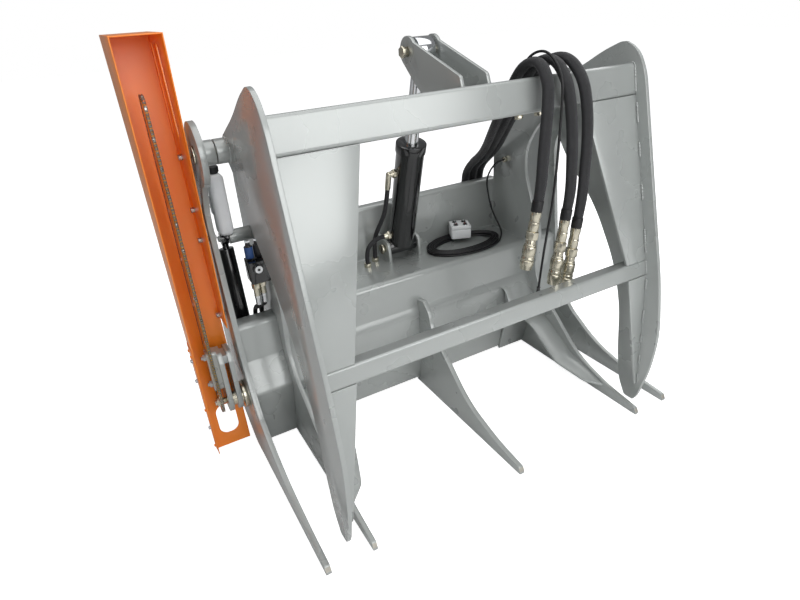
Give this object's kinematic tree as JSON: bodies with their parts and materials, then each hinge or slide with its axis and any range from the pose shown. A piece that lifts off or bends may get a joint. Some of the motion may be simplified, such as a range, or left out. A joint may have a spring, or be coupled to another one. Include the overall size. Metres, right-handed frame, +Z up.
{
  "type": "log grapple",
  "caption": "Hydraulic log grapple with curved tines, a closing jaw on a lift cylinder and a swing-out chain saw in a sheet guard.",
  "frame": {"origin": "on the flat underside of the centre tine, at the foot of the beam's front", "axes": "+X to the right along the cross tubes, +Y back towards the loader, +Z up from the ground"},
  "size_m": [1.618, 1.009, 1.42],
  "materials": {
    "grey_paint": "glossy silver-grey enamel",
    "bright_steel": "zinc-plated steel",
    "orange_paint": "semi-gloss orange powder coat",
    "black_paint": "gloss black paint",
    "chrome": "hard chrome",
    "bar_steel": "ground steel",
    "chain_steel": "oiled steel",
    "white_plastic": "moulded white plastic",
    "black_rubber": "smooth black rubber",
    "hose_sleeve": "black woven sleeve",
    "button_plastic": "gloss black plastic"
  },
  "bodies": {
    "frame": {"outer_plate_left": "grey_paint", "outer_plate_right": "grey_paint", "inner_plate_left": "grey_paint", "inner_plate_right": "grey_paint", "beam_skin": "grey_paint", "trough_plate": "grey_paint", "centre_tine": "grey_paint", "bay_skins": "grey_paint", "attach_plate": "grey_paint", "tine_wings": "grey_paint", "lift_lugs": "grey_paint", "frame_bosses": "grey_paint", "frame_pins": "bright_steel", "hose_fittings": "bright_steel", "saw_guard": "orange_paint", "guard_side_cover": "orange_paint", "guard_bolts": "bright_steel", "swing_bearing": "bright_steel", "swing_top_pin": "grey_paint", "swing_barrel": "black_paint", "oil_bottle": "white_plastic", "valve_block": "black_paint", "bay_hose_front": "black_rubber", "bay_hose_rear": "black_rubber", "cable_gland": "bright_steel", "control_cable": "black_rubber", "cable_coil": "black_rubber", "control_box": "white_plastic", "hose_bracket": "grey_paint"},
    "jaw": {"jaw_plate_left": "grey_paint", "jaw_plate_right": "grey_paint", "jaw_bosses": "grey_paint", "top_tube": "grey_paint", "low_tube": "grey_paint", "jaw_flanges": "grey_paint", "cylinder_ears": "grey_paint", "ear_pin": "bright_steel", "tube_bolts": "bright_steel", "hose_left": "hose_sleeve", "hose_middle": "hose_sleeve", "hose_right": "hose_sleeve", "hose_couplers": "bright_steel", "power_cable": "black_rubber"},
    "lift_barrel": {"lift_barrel": "black_paint", "lift_ports": "bright_steel", "lift_hose_upper": "hose_sleeve", "lift_hose_lower": "hose_sleeve"},
    "lift_rod": {"lift_rod": "chrome"},
    "saw": {"saw_arm": "grey_paint", "saw_hub": "bright_steel", "saw_motor": "black_paint", "guide_bar": "bar_steel", "saw_chain": "chain_steel", "bar_clamp": "grey_paint"},
    "sprocket": {"drive_sprocket": "bright_steel"},
    "swing_rod": {"swing_rod": "chrome"},
    "button_1": {"button_1": "button_plastic"},
    "button_2": {"button_2": "button_plastic"},
    "button_3": {"button_3": "button_plastic"},
    "button_4": {"button_4": "button_plastic"}
  },
  "joints": [
    {"name": "jaw_pivot", "type": "hinge", "parent": "frame", "child": "jaw", "pos_m": [0, -0.02, 1.1], "axis": [1, 0, 0], "range_deg": [-50, 0], "deforming": ["hose_left", "hose_middle", "hose_right", "power_cable"]},
    {"name": "lift_tilt", "type": "hinge", "parent": "frame", "child": "lift_barrel", "pos_m": [0.035, 0.185, 0.566], "axis": [1, 0, 0], "range_deg": [-12.36, 0], "deforming": ["lift_hose_upper", "lift_hose_lower"]},
    {"name": "lift_slide", "type": "slide", "parent": "lift_barrel", "child": "lift_rod", "axis": [0, -0.2805, 0.9599], "range_m": [-0.0866, 0]},
    {"name": "saw_swing", "type": "hinge", "parent": "frame", "child": "saw", "pos_m": [-0.77, 0.03, 0.225], "axis": [1, 0, 0], "range_deg": [0, 95]},
    {"name": "sprocket_spin", "type": "hinge", "parent": "saw", "child": "sprocket", "pos_m": [-0.822, 0.03, 0.225], "axis": [1, 0, 0], "continuous": true},
    {"name": "swing_slide", "type": "slide", "parent": "frame", "child": "swing_rod", "axis": [0, -0.1323, -0.9912], "range_m": [-0.0827, 0]},
    {"name": "button_1_press", "type": "slide", "parent": "frame", "child": "button_1", "axis": [0, 0, -1], "range_m": [0, 0.004], "stiffness_N_per_m": 300, "springref_m": -0.0005},
    {"name": "button_2_press", "type": "slide", "parent": "frame", "child": "button_2", "axis": [0, 0, -1], "range_m": [0, 0.004], "stiffness_N_per_m": 300, "springref_m": -0.0005},
    {"name": "button_3_press", "type": "slide", "parent": "frame", "child": "button_3", "axis": [0, 0, -1], "range_m": [0, 0.004], "stiffness_N_per_m": 300, "springref_m": -0.0005},
    {"name": "button_4_press", "type": "slide", "parent": "frame", "child": "button_4", "axis": [0, 0, -1], "range_m": [0, 0.004], "stiffness_N_per_m": 300, "springref_m": -0.0005}
  ],
  "couplings": [
    {"joint": "lift_tilt", "follows": "jaw_pivot", "ratio": 0.247},
    {"joint": "lift_slide", "follows": "jaw_pivot", "m_per_rad": 0.09912},
    {"joint": "swing_slide", "follows": "saw_swing", "m_per_rad": -0.0498}
  ]
}
